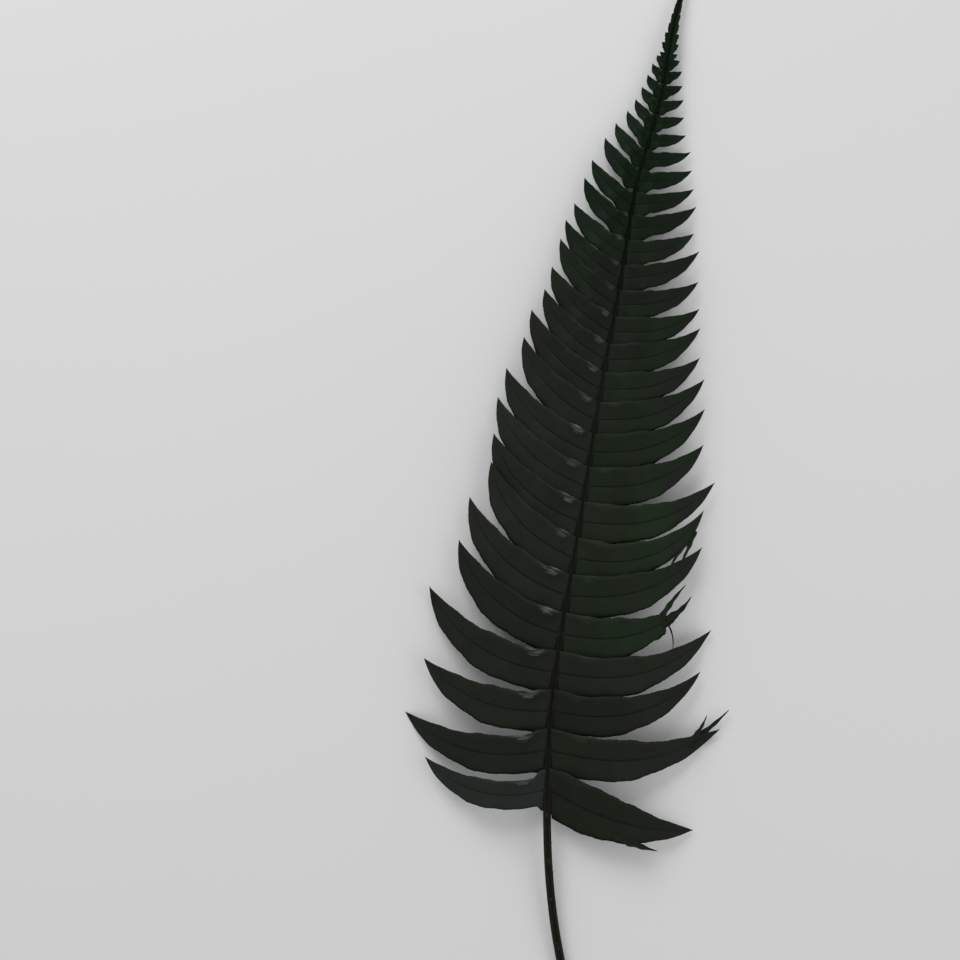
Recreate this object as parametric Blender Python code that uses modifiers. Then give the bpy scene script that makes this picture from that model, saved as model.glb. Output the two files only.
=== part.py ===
"""A preserved fern frond, picked and laid on its back: stipe, rachis and pinnae grown as one piece.

The frame is in metres with +Z up. The surface that the frond lies on is Z = 0, the cut end of the
stipe is at the origin, and the rachis runs towards +Y. The upper side of the blade faces +Z.
"""
import math
import random

import bmesh
import bpy
import numpy as np

NAME = "frond"

# The rachis: places that its middle line passes through, from the cut end of the stipe to the tip.
# The height is the arch of a dried frond that lies on its cut end and on the tips of two pinnae.
# At the cut end it is less than the stipe's radius, so that the underside there is pressed flat.
RACHIS = (
    (0.0007, -0.008, 0.0018),
    (-0.0010, 0.010, 0.0018),
    (-0.0110, 0.065, 0.0045),
    (-0.0160, 0.133, 0.0105),
    (-0.0135, 0.190, 0.0150),
    (-0.0060, 0.242, 0.0180),
    (0.0026, 0.294, 0.0195),
    (0.0125, 0.356, 0.0190),
    (0.0239, 0.419, 0.0160),
    (0.0312, 0.460, 0.0125),
    (0.0430, 0.502, 0.0087),
    (0.0508, 0.543, 0.0053),
    (0.0593, 0.574, 0.0031),
)
LAMINA_START = 0.1325
CUT_SLANT = math.radians(28)
CUT_DEPTH = 0.002
RACHIS_CORNERS = 10
GROOVE_FLOOR = 0.62
DIRECTION_REACH = 0.002

# Laws along the frond: pairs of the distance back from the tip and the value there.
RADIUS = ((0.00, 0.00045), (0.02, 0.0006), (0.07, 0.0009), (0.12, 0.0012), (0.18, 0.0015), (0.33, 0.0018),
          (0.44, 0.0020), (0.60, 0.0024))
SPACING = ((0.05, 0.0060), (0.07, 0.0079), (0.10, 0.0098), (0.125, 0.0126), (0.18, 0.0136), (0.22, 0.0150),
           (0.28, 0.0179), (0.34, 0.0200), (0.45, 0.0209))
LENGTH = ((0.05, 0.0062), (0.06, 0.0095), (0.075, 0.0132), (0.085, 0.0168), (0.095, 0.0205),
          (0.106, 0.0262), (0.118, 0.0310), (0.142, 0.0372), (0.17, 0.0440), (0.20, 0.0510),
          (0.26, 0.0650), (0.30, 0.0715), (0.37, 0.0790), (0.405, 0.0850), (0.432, 0.0760))
SIDE_LENGTH = {"right": 1.0, "left": 0.96}
FILL = ((0.05, 0.60), (0.09, 0.66), (0.13, 0.80), (0.17, 0.96), (0.30, 1.02), (0.34, 0.94), (0.44, 0.86))
CHORD = {
    "right": ((0.05, 33.0), (0.14, 28.0), (0.25, 28.0), (0.33, 24.0), (0.39, 18.0), (0.412, 13.0),
              (0.43, -10.0)),
    "left": ((0.05, 41.0), (0.34, 38.0), (0.37, 29.0), (0.395, 18.0), (0.412, 10.0), (0.43, 12.0)),
}
CURL = {
    "right": ((0.05, 30.0), (0.14, 40.0), (0.25, 56.0), (0.41, 58.0), (0.43, 30.0)),
    "left": ((0.05, 30.0), (0.14, 42.0), (0.25, 58.0), (0.38, 60.0), (0.41, 48.0), (0.43, 62.0)),
}

# How a pinna runs and how wide it is, as shares of its length and of the spacing.
CURL_POWER = 1.3
MIDRIB_STEPS = 121
ROOT_WIDTH = 1.02
ROOT_FLARE = 0.0024
TAPER_START = 0.35
TAPER_POWER = 1.6
TIP_WIDTH = 0.0011
ROOT_IN = 0.35
ROOT_UP = 0.25
ROOT_BLEND = 0.14
MARGIN_WAVES = ((3.1, 0.035), (7.3, 0.020))
LIFT_START = 0.6
RIPPLE_TURNS = 2.6
RIPPLE_HEIGHT = 0.0005

# The sheet that all the pinnae lie in, and how each one is tilted out of it so that neighbours pass clear.
# No pinna comes lower than the edge height, but the two that rest bend down until they touch the surface:
# the rest height of their middle surface is a little over half the thickness.
REACH = {"right": 0.98, "left": 0.86}
EDGE_HEIGHT = 0.0022
REST_HEIGHT = 0.0005
REST_BEND = 0.0030
CROWN = 0.13
CROWN_INWARD = 0.3
LOUVRE = math.radians(10)
ROOT_LOUVRE = 0.55
KEEL = 0.05
THICKNESS = 0.0008

# The narrow tip, whose lobes have run together into one toothed blade.
TIP_LENGTH = 0.049
TIP_HALF_WIDTH = ((0.0, 0.0005), (0.020, 0.0017), (0.026, 0.0022), (0.036, 0.0032), (0.043, 0.0046),
                  (0.051, 0.0046))
TIP_OVERLAP = 0.0027
TIP_SHORT_OF_END = 0.0002
TIP_TOOTH_PITCH = 0.0054
TIP_TOOTH_DEPTH = 0.42
TIP_DEPTH_POWER = 1.5
TIP_TOOTH_POWER = 0.7
TIP_ROWS_PER_TOOTH = 3

# Differences from the rule that single pinnae have, counted from the lowest pair: the share of the length
# that they keep, an extra turn towards the tip in degrees, the share of the width, and extra curl in degrees.
SINGLE = {
    ("right", 0): (1.04, -2.0, 1.20, 0.0),
    ("right", 1): (1.16, 2.0, 1.10, 0.0),
    ("right", 2): (1.0, 4.0, 1.0, 0.0),
    ("right", 3): (1.065, 1.0, 1.0, 0.0),
    ("right", 4): (0.88, 0.0, 1.05, 0.0),
    ("right", 5): (1.06, 5.0, 1.0, 0.0),
    ("right", 6): (1.0, 8.5, 0.95, 14.0),
    ("right", 7): (1.09, -2.5, 1.0, 0.0),
    ("right", 8): (1.0, 2.0, 1.0, 0.0),
    ("right", 9): (1.03, 0.5, 1.0, 0.0),
    ("right", 10): (1.04, 1.5, 1.0, 0.0),
    ("left", 0): (0.97, 0.0, 0.95, 0.0),
    ("left", 2): (0.94, 2.0, 1.0, 0.0),
    ("left", 3): (1.08, 0.0, 1.0, 0.0),
}

# The chance spread of single pinnae, and the two whose tips rest on the surface, far out on both sides.
SEED = 4
LENGTH_SPREAD = 0.035
CHORD_SPREAD = 2.5
MOST_LIFT = 0.006
RESTING = (("right", 16), ("left", 1))

# How finely the meshes are divided, and the angle over which an edge is sharp.
COLUMNS = 2
ROW_LENGTH = 0.0088
MOST_ROWS = 9
FEWEST_ROWS = 4
RACHIS_STEP = 0.0085
FINE_STEPS = 1200
WELD = 1e-6
SHARP_ANGLE = math.radians(40)


def read(law, at):
    """The value of a law at a distance back from the tip, by straight lines between its pairs."""
    places, values = zip(*law)
    return np.interp(at, places, values)


def spline(knots, values, at):
    """A natural cubic spline through the values at the knots, read at the places given."""
    knots, values, at = (np.asarray(given, float) for given in (knots, values, at))
    gaps = np.diff(knots)
    slopes = np.diff(values) / gaps
    matrix = np.eye(len(knots))
    right = np.zeros(len(knots))
    for i in range(1, len(knots) - 1):
        matrix[i, i - 1:i + 2] = gaps[i - 1], 2 * (gaps[i - 1] + gaps[i]), gaps[i]
        right[i] = 6 * (slopes[i] - slopes[i - 1])
    bend = np.linalg.solve(matrix, right)
    cell = np.clip(np.searchsorted(knots, at) - 1, 0, len(gaps) - 1)
    before, after, gap = at - knots[cell], knots[cell + 1] - at, gaps[cell]
    cubic = (bend[cell] * after ** 3 + bend[cell + 1] * before ** 3) / (6 * gap)
    first = (values[cell] / gap - bend[cell] * gap / 6) * after
    last = (values[cell + 1] / gap - bend[cell + 1] * gap / 6) * before
    return cubic + first + last


def smooth_step(share):
    """0 below 0, 1 above 1, and a smooth rise between."""
    share = np.clip(share, 0, 1)
    return share * share * (3 - 2 * share)


class Rachis:
    """The middle line of the stipe and rachis, measured by its length from the cut end."""

    def __init__(self):
        x, y, z = zip(*RACHIS)
        places = np.linspace(y[0], y[-1], FINE_STEPS)
        line = np.stack([spline(y, x, places), places, spline(y, z, places)], axis=1)
        steps = np.linalg.norm(np.diff(line, axis=0), axis=1)
        self.line = line
        self.length_at = np.concatenate([[0.0], np.cumsum(steps)])
        self.length = self.length_at[-1]

    def point(self, along):
        """The places on the middle line at these lengths from the cut end."""
        return np.stack([np.interp(along, self.length_at, self.line[:, i]) for i in range(3)], axis=-1)

    def direction(self, along):
        """The unit direction in plan, towards the tip."""
        ahead = self.point(along + DIRECTION_REACH) - self.point(along - DIRECTION_REACH)
        ahead[..., 2] = 0
        return ahead / np.linalg.norm(ahead, axis=-1, keepdims=True)

    def from_tip(self, along):
        """The distance back from the tip."""
        return self.length - along

    def start_of_lamina(self):
        """The length from the cut end to where the lowest pinnae begin."""
        return float(np.interp(LAMINA_START, self.line[:, 1], self.length_at))


def sheet_height(rachis, along, out, side):
    """The height of the common sheet: from the rachis it crowns, then falls to the surface at its reach."""
    share = np.clip(out / (REACH[side] * read(LENGTH, rachis.from_tip(along))), 0, 1)
    arch = 4 * share * (1 - share) * (1 - CROWN_INWARD * share)
    crown = CROWN * read(LENGTH, rachis.from_tip(along)) * arch
    root = rachis.point(along)[..., 2]
    return root * (1 - share ** 2) + EDGE_HEIGHT * share ** 2 + crown


def pinna_surface(rachis, pinna, along, across):
    """The middle surface of a pinna as a grid of points.

    Its midrib starts at the rachis and turns steadily towards the tip of the frond. Its margins lie to
    both sides of the midrib, as far as the width formula says, and its height is the common sheet's,
    with a tilt that lifts the margin nearer the tip and a shallow keel along the midrib.
    """
    fine = np.linspace(0, 1, MIDRIB_STEPS)
    heading = np.radians(pinna["chord"] + pinna["curl"] * (fine ** CURL_POWER - 1 / (CURL_POWER + 1)))
    middle = (heading[1:] + heading[:-1]) / 2
    step = pinna["length"] / (len(fine) - 1)
    out = np.interp(along, fine, np.concatenate([[0], np.cumsum(np.cos(middle) * step)]))
    up = np.interp(along, fine, np.concatenate([[0], np.cumsum(np.sin(middle) * step)]))
    turn = np.interp(along, fine, heading)

    taper = 1 - np.clip((along - TAPER_START) / (1 - TAPER_START), 0, 1) ** TAPER_POWER
    fill = pinna["fill"] + (ROOT_WIDTH - pinna["fill"]) * np.exp(-along * pinna["length"] / ROOT_FLARE)
    width = np.maximum(pinna["spacing"] * fill * taper, TIP_WIDTH)
    free = smooth_step(along / ROOT_BLEND)
    waves = sum(size * np.sin(2 * math.pi * (turns * along + phase))
                for (turns, size), phase in zip(MARGIN_WAVES, pinna["phases"]))
    half = width / 2 * (1 + free * waves)

    lean = turn * free
    grid_out = out[:, None] - half[:, None] * across * np.sin(lean)[:, None]
    grid_up = up[:, None] + half[:, None] * across * np.cos(lean)[:, None]
    place = pinna["at"] + grid_up
    sign = 1 if pinna["side"] == "right" else -1
    ahead = rachis.direction(np.full_like(place, pinna["at"]))
    outward = np.stack([sign * ahead[..., 1], -sign * ahead[..., 0], np.zeros_like(place)], axis=-1)
    root = rachis.point(np.array(pinna["at"]))
    points = root + outward * (grid_out + ROOT_IN * pinna["radius"])[..., None] + ahead * grid_up[..., None]

    tilt = math.sin(LOUVRE) * half[:, None] * across * (ROOT_LOUVRE + (1 - ROOT_LOUVRE) * free[:, None])
    keel = -KEEL * width[:, None] * (1 - np.abs(across)) * free[:, None]
    ripple = RIPPLE_HEIGHT * np.sin(2 * math.pi * (RIPPLE_TURNS * along + pinna["phases"][0]))
    ripple = ripple[:, None] * across * (free * taper)[:, None]
    lift = pinna["lift"] * np.clip((along - LIFT_START) / (1 - LIFT_START), 0, 1)[:, None] ** 2
    points[..., 2] = sheet_height(rachis, place, grid_out, pinna["side"]) + tilt + keel + ripple + lift
    points[..., 2] += ROOT_UP * pinna["radius"] * (1 - free[:, None])
    points[..., 2] = np.maximum(points[..., 2], pinna["lowest"])
    return points


def pinnae(rachis):
    """Every pinna of the frond, from the lowest pair upwards, placed and sized by the laws."""
    draw = random.Random(SEED)
    made = []
    for side in ("right", "left"):
        edge = rachis.start_of_lamina()
        index = 0
        spacing = float(read(SPACING, rachis.from_tip(edge)))
        while rachis.from_tip(edge + spacing) > TIP_LENGTH:
            at = edge + spacing / 2
            back = rachis.from_tip(at)
            long, turned, wide, bent = SINGLE.get((side, index), (1.0, 0.0, 1.0, 0.0))
            long *= 1 + draw.uniform(-1, 1) * LENGTH_SPREAD
            made.append({
                "side": side,
                "at": at,
                "spacing": spacing,
                "length": read(LENGTH, back) * SIDE_LENGTH[side] * long,
                "chord": read(CHORD[side], back) + turned + draw.uniform(-1, 1) * CHORD_SPREAD,
                "curl": read(CURL[side], back) + bent,
                "fill": read(FILL, back) * wide,
                "radius": read(RADIUS, back),
                "phases": (draw.random(), draw.random()),
                "lift": draw.random() * MOST_LIFT,
                "lowest": EDGE_HEIGHT,
            })
            if (side, index) in RESTING:
                made[-1].update(lift=-REST_BEND, lowest=REST_HEIGHT)
            edge += spacing
            spacing = float(read(SPACING, rachis.from_tip(edge)))
            index += 1
    return made


def sheet_object(name, points, collection):
    """An open sheet through a grid of points, in triangles, given its thickness by a Solidify."""
    rows, columns = points.shape[:2]
    corner = np.arange(rows * columns).reshape(rows, columns)
    a, b, c, d = corner[:-1, :-1], corner[:-1, 1:], corner[1:, 1:], corner[1:, :-1]
    faces = np.concatenate([np.stack([a, b, c], -1).reshape(-1, 3), np.stack([a, c, d], -1).reshape(-1, 3)])
    mesh = bpy.data.meshes.new(name)
    mesh.from_pydata(points.reshape(-1, 3).tolist(), [], faces.tolist())
    sheet = bpy.data.objects.new(name, mesh)
    collection.objects.link(sheet)
    wall = sheet.modifiers.new("wall", "SOLIDIFY")
    wall.thickness = THICKNESS
    wall.offset = 0
    return sheet


def make_pinnae(rachis, collection):
    """One blade for each pinna, with its root sunk into the rachis."""
    across = np.linspace(-1, 1, COLUMNS + 1)
    for number, pinna in enumerate(pinnae(rachis)):
        rows = int(np.clip(round(pinna["length"] / ROW_LENGTH), FEWEST_ROWS, MOST_ROWS))
        along = np.linspace(0, 1, rows + 1)
        points = pinna_surface(rachis, pinna, along, across)
        if pinna["side"] == "left":
            points = points[:, ::-1]
        sheet_object(f"pinna_{number:02d}", points, collection)


def make_tip(rachis, collection):
    """The toothed blade at the end of the rachis, which narrows to the tip and swings with each tooth."""
    rows = TIP_ROWS_PER_TOOTH * round(TIP_LENGTH / TIP_TOOTH_PITCH)
    back = np.linspace(TIP_LENGTH + TIP_OVERLAP, TIP_SHORT_OF_END, rows + 1)
    along = rachis.length - back
    depth = TIP_TOOTH_DEPTH * (back / TIP_LENGTH) ** TIP_DEPTH_POWER
    teeth = 1 - depth * np.abs(np.sin(math.pi * back / TIP_TOOTH_PITCH)) ** TIP_TOOTH_POWER
    half = read(TIP_HALF_WIDTH, back) * teeth
    across = np.linspace(-1, 1, COLUMNS + 1)
    ahead = rachis.direction(along)
    right = np.stack([ahead[:, 1], -ahead[:, 0], np.zeros(len(along))], axis=-1)
    points = rachis.point(along)[:, None] + right[:, None] * (half[:, None] * across)[..., None]
    points[..., 2] += half[:, None] * CROWN * np.abs(across)
    sheet_object("tip_blade", points[:, ::-1], collection)


def make_rachis(rachis, collection):
    """The stipe and rachis: a tube along the middle line, grooved on top, flattened where it rests."""
    section_curve = bpy.data.curves.new("section", "CURVE")
    section_curve.dimensions = "2D"
    ring = section_curve.splines.new("POLY")
    ring.points.add(RACHIS_CORNERS - 1)
    ring.use_cyclic_u = True
    for i, point in enumerate(ring.points):
        angle = 2 * math.pi * i / RACHIS_CORNERS + math.pi / 2
        size = GROOVE_FLOOR if i == 0 else 1.0
        point.co = (size * math.cos(angle), size * math.sin(angle), 0, 1)
    section = bpy.data.objects.new("section", section_curve)
    collection.objects.link(section)

    count = round(rachis.length / RACHIS_STEP)
    along = np.linspace(0, rachis.length, count + 1)
    curve = bpy.data.curves.new(NAME, "CURVE")
    curve.dimensions = "3D"
    curve.twist_mode = "Z_UP"
    curve.bevel_mode = "OBJECT"
    curve.bevel_object = section
    curve.use_fill_caps = True
    line = curve.splines.new("POLY")
    line.points.add(count)
    radii = read(RADIUS, rachis.from_tip(along))
    for point, place, radius in zip(line.points, rachis.point(along), radii):
        point.co = (*place, 1)
        point.radius = radius
    tube = bpy.data.objects.new(NAME, curve)
    collection.objects.link(tube)
    bpy.context.view_layer.update()
    mesh = bpy.data.meshes.new_from_object(tube.evaluated_get(bpy.context.evaluated_depsgraph_get()))
    body = bpy.data.objects.new(NAME, mesh)
    body.matrix_world = tube.matrix_world
    bpy.data.objects.remove(tube)
    bpy.data.objects.remove(section)
    body.name = NAME
    collection.objects.link(body)
    finish_rachis(mesh)
    return body


def finish_rachis(mesh):
    """Welds the caps, slants the cut end and presses the underside near it flat on the surface."""
    shape = bmesh.new()
    shape.from_mesh(mesh)
    bmesh.ops.remove_doubles(shape, verts=shape.verts, dist=WELD)
    end = min(vertex.co.y for vertex in shape.verts)
    for vertex in shape.verts:
        if vertex.co.y < end + CUT_DEPTH:
            vertex.co.y += (vertex.co.z - RACHIS[0][2]) * math.tan(CUT_SLANT)
        vertex.co.z = max(vertex.co.z, 0.0)
    bmesh.ops.triangulate(shape, faces=shape.faces)
    bmesh.ops.recalc_face_normals(shape, faces=shape.faces)
    shape.to_mesh(mesh)
    shape.free()


def join_all(body, blades):
    """One Boolean union of the rachis with every blade, applied, after which the blades are removed."""
    union = body.modifiers.new("grown_together", "BOOLEAN")
    union.operation = "UNION"
    union.operand_type = "COLLECTION"
    union.collection = blades
    union.solver = "MANIFOLD"
    bpy.context.view_layer.update()
    joined = bpy.data.meshes.new_from_object(body.evaluated_get(bpy.context.evaluated_depsgraph_get()))
    body.modifiers.clear()
    body.data = joined
    for blade in list(blades.objects):
        bpy.data.objects.remove(blade)
    bpy.data.collections.remove(blades)


def preserved_green():
    """The dyed, dried leaf: near-black green with a dull surface."""
    material = bpy.data.materials.new("preserved_green")
    material.use_nodes = True
    shader = material.node_tree.nodes["Principled BSDF"]
    shader.inputs["Base Color"].default_value = (0.012, 0.020, 0.013, 1)
    shader.inputs["Roughness"].default_value = 0.55
    shader.inputs["Metallic"].default_value = 0.0
    return material


def main():
    for old in list(bpy.data.objects):
        bpy.data.objects.remove(old)
    parts = bpy.data.collections.new("preserved_fern_frond")
    blades = bpy.data.collections.new("blades")
    bpy.context.scene.collection.children.link(parts)
    bpy.context.scene.collection.children.link(blades)
    rachis = Rachis()
    body = make_rachis(rachis, parts)
    make_pinnae(rachis, blades)
    make_tip(rachis, blades)
    join_all(body, blades)
    body.data.materials.clear()
    body.data.materials.append(preserved_green())
    body.data.shade_smooth()
    body.data.set_sharp_from_angle(angle=SHARP_ANGLE)


main()
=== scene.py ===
"""Looks of a preserved fern frond that lies on its back, seen from above.

Every shape is worked out in the row frame, in metres, by the same laws of growth as the solid model. The
rachis is one smooth line. Each pinna is a surface of two parameters, the share of its midrib and the place
across it from margin to margin, which starts at the rachis and turns towards the tip of the frond.
"""
import logging
import math
import random
from collections.abc import Iterator
from dataclasses import dataclass
from enum import Enum

import bmesh
import bpy
import numpy as np
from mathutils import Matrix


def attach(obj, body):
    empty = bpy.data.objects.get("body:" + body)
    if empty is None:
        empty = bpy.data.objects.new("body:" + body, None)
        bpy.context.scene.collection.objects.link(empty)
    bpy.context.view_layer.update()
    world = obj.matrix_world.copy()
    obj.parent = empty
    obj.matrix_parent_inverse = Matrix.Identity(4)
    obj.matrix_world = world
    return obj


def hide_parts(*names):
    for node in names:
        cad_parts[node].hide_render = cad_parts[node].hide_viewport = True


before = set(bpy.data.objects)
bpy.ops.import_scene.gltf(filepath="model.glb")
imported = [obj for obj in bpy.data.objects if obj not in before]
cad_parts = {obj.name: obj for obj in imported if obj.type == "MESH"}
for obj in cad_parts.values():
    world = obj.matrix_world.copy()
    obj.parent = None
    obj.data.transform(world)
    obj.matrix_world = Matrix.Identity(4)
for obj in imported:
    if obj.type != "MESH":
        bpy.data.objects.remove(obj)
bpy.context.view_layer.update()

logging.basicConfig(level=logging.INFO, format="%(message)s")
LOG = logging.getLogger("frond")

Array = np.ndarray
Colour = tuple[float, float, float]
Shape = tuple[Array, Array, dict[str, Array | float]]
BODY = "root"
NODE = "frond"
WELD = 1e-7
FIRST_VEIN = 40.0


class Side(Enum):
    """The two rows of pinnae, seen from above with the tip away; the value is the sign of X."""

    RIGHT = 1
    LEFT = -1


class Face(Enum):
    """Which face of a blade a corner lies on, as the value that its shader reads."""

    UNDER = 0.0
    UPPER = 1.0


# How the frond grew


@dataclass(frozen=True)
class Law:
    """A value that changes along the frond, given at distances back from its tip."""

    pairs: tuple[tuple[float, float], ...]

    def __call__(self, back: Array | float) -> Array:
        """The value at a distance back from the tip, straight between the pairs."""
        places, values = zip(*self.pairs)
        return np.interp(back, places, values)


def smooth_step(share: Array | float) -> Array:
    """0 below 0, 1 above 1, and 3s^2 - 2s^3 between."""
    share = np.clip(share, 0, 1)
    return share * share * (3 - 2 * share)


def bell(at: Array, middle: float, width: float) -> Array:
    """exp(-((at - middle) / width)^2)."""
    return np.exp(-((at - middle) / width) ** 2)


def unit(vectors: Array) -> Array:
    """The vectors over their lengths."""
    return vectors / np.linalg.norm(vectors, axis=-1, keepdims=True)


RADIUS = Law(((0.00, 0.00045), (0.02, 0.0006), (0.07, 0.0009), (0.12, 0.0012), (0.18, 0.0015), (0.33, 0.0018),
              (0.44, 0.0020), (0.60, 0.0024)))
SPACING = Law(((0.05, 0.0060), (0.07, 0.0079), (0.10, 0.0098), (0.125, 0.0126), (0.18, 0.0136),
               (0.22, 0.0150), (0.28, 0.0179), (0.34, 0.0200), (0.45, 0.0209)))
LENGTH = Law(((0.05, 0.0062), (0.06, 0.0095), (0.075, 0.0132), (0.085, 0.0168), (0.095, 0.0205),
              (0.106, 0.0262), (0.118, 0.0310), (0.142, 0.0372), (0.17, 0.0440), (0.20, 0.0510),
              (0.26, 0.0650), (0.30, 0.0715), (0.37, 0.0790), (0.405, 0.0850), (0.432, 0.0760)))
FILL = Law(((0.05, 0.60), (0.09, 0.64), (0.13, 0.74), (0.17, 0.86), (0.21, 0.98), (0.30, 1.02),
            (0.34, 0.99), (0.44, 0.93)))
JOINED = Law(((0.05, 0.0022), (0.08, 0.0028), (0.10, 0.0034), (0.122, 0.0054), (0.15, 0.0082),
              (0.18, 0.0125), (0.22, 0.0180), (0.30, 0.0170), (0.36, 0.0130), (0.40, 0.0090),
              (0.44, 0.0040)))
CHORD = {
    Side.RIGHT: Law(((0.05, 33.0), (0.14, 28.0), (0.25, 28.0), (0.33, 24.0), (0.39, 18.0), (0.412, 13.0),
                     (0.43, -10.0))),
    Side.LEFT: Law(((0.05, 41.0), (0.34, 38.0), (0.37, 29.0), (0.395, 18.0), (0.412, 10.0), (0.43, 12.0))),
}
CURL = {
    Side.RIGHT: Law(((0.05, 30.0), (0.14, 40.0), (0.25, 56.0), (0.41, 58.0), (0.43, 30.0))),
    Side.LEFT: Law(((0.05, 30.0), (0.14, 42.0), (0.25, 58.0), (0.38, 60.0), (0.41, 48.0), (0.43, 62.0))),
}
SIDE_LENGTH = {Side.RIGHT: 1.0, Side.LEFT: 0.96}
REACH = {Side.RIGHT: 0.98, Side.LEFT: 0.86}

# Single pinnae that differ from the laws, counted from the lowest pair: the share of the length that they
# keep, an extra turn towards the tip in degrees, the share of the width, and extra curl in degrees.
SINGLE = {
    (Side.RIGHT, 0): (1.08, -4.0, 1.24, 0.0),
    (Side.RIGHT, 1): (1.16, 2.0, 1.10, 0.0),
    (Side.RIGHT, 2): (1.0, 4.0, 1.0, 0.0),
    (Side.RIGHT, 3): (1.065, 1.0, 1.0, 0.0),
    (Side.RIGHT, 4): (0.88, 0.0, 1.05, 0.0),
    (Side.RIGHT, 5): (1.06, 5.0, 1.0, 0.0),
    (Side.RIGHT, 6): (1.05, 6.8, 0.90, 14.0),
    (Side.RIGHT, 7): (1.09, -2.5, 0.94, 0.0),
    (Side.RIGHT, 8): (1.0, 2.0, 1.0, 0.0),
    (Side.RIGHT, 9): (1.03, 0.5, 1.0, 0.0),
    (Side.RIGHT, 10): (1.04, 1.5, 1.0, 0.0),
    (Side.LEFT, 0): (0.97, 0.0, 0.80, 0.0),
    (Side.LEFT, 2): (0.94, 2.0, 1.0, 0.0),
    (Side.LEFT, 3): (1.08, 0.0, 1.0, 0.0),
}

TIP_LENGTH = 0.049
EDGE_HEIGHT = 0.0022
REST_HEIGHT = 0.00035
REST_BEND = 0.0030
CROWN = 0.13
CROWN_INWARD = 0.3


class MiddleLine:
    """The middle line of the stipe and rachis, measured by its length from the cut end."""

    POINTS = (
        (0.0007, -0.008, 0.0018),
        (-0.0010, 0.010, 0.0018),
        (-0.0110, 0.065, 0.0045),
        (-0.0160, 0.133, 0.0105),
        (-0.0135, 0.190, 0.0150),
        (-0.0060, 0.242, 0.0180),
        (0.0026, 0.294, 0.0195),
        (0.0125, 0.356, 0.0190),
        (0.0239, 0.419, 0.0160),
        (0.0312, 0.460, 0.0125),
        (0.0430, 0.502, 0.0087),
        (0.0508, 0.543, 0.0053),
        (0.0593, 0.574, 0.0031),
    )
    LAMINA_START = 0.1325
    STEPS = 1200
    DIRECTION_REACH = 0.002

    def __init__(self) -> None:
        """Reads x and z as natural cubic splines over y, and adds up the length along them."""
        x, y, z = (np.array(values) for values in zip(*self.POINTS))
        places = np.linspace(y[0], y[-1], self.STEPS)
        self.line = np.stack([self.spline(y, x, places), places, self.spline(y, z, places)], axis=1)
        steps = np.linalg.norm(np.diff(self.line, axis=0), axis=1)
        self.length_at = np.concatenate([[0.0], np.cumsum(steps)])
        self.length = float(self.length_at[-1])

    @staticmethod
    def spline(knots: Array, values: Array, at: Array) -> Array:
        """A natural cubic spline: third-degree between knots, with no bend at the two ends.

        Args:
            knots: Rising places where the values are known.
            values: The values there.
            at: The places to read.

        Returns:
            The values at those places.
        """
        gaps = np.diff(knots)
        slopes = np.diff(values) / gaps
        inner = np.diag(2 * (gaps[:-1] + gaps[1:])) + np.diag(gaps[1:-1], 1) + np.diag(gaps[1:-1], -1)
        bend = np.concatenate([[0.0], np.linalg.solve(inner, 6 * np.diff(slopes)), [0.0]])
        cell = np.clip(np.searchsorted(knots, at) - 1, 0, len(gaps) - 1)
        before, after, gap = at - knots[cell], knots[cell + 1] - at, gaps[cell]
        cubic = (bend[cell] * after ** 3 + bend[cell + 1] * before ** 3) / (6 * gap)
        first = (values[cell] / gap - bend[cell] * gap / 6) * after
        last = (values[cell + 1] / gap - bend[cell + 1] * gap / 6) * before
        return cubic + first + last

    def point(self, along: Array | float) -> Array:
        """The places on the middle line at these lengths from the cut end."""
        return np.stack([np.interp(along, self.length_at, self.line[:, i]) for i in range(3)], axis=-1)

    def ahead(self, along: Array | float) -> Array:
        """The unit direction in plan, towards the tip."""
        step = self.point(along + self.DIRECTION_REACH) - self.point(along - self.DIRECTION_REACH)
        step[..., 2] = 0
        return unit(step)

    def right(self, along: Array | float) -> Array:
        """The unit direction in plan, square to that and to its right."""
        ahead = self.ahead(along)
        return np.stack([ahead[..., 1], -ahead[..., 0], np.zeros_like(ahead[..., 0])], axis=-1)

    def back(self, along: Array | float) -> Array:
        """The distance back from the tip."""
        return self.length - along

    def lamina_start(self) -> float:
        """The length from the cut end to where the lowest pinnae begin."""
        return float(np.interp(self.LAMINA_START, self.line[:, 1], self.length_at))

    def sheet_height(self, along: Array, out: Array, side: Side) -> Array:
        """The height of the common sheet: it crowns from the rachis, then falls to the surface at its reach.

        Args:
            along: Lengths from the cut end, measured beside the rachis.
            out: Distances out from the rachis.
            side: The side of the rachis.

        Returns:
            root (1 - s^2) + edge s^2 + 4 crown s (1 - s) (1 - 0.3 s), s being the share of the reach.
        """
        full = LENGTH(self.back(along))
        share = np.clip(out / (REACH[side] * full), 0, 1)
        arch = 4 * share * (1 - share) * (1 - CROWN_INWARD * share)
        root = self.point(along)[..., 2]
        return root * (1 - share ** 2) + EDGE_HEIGHT * share ** 2 + CROWN * full * arch


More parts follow.
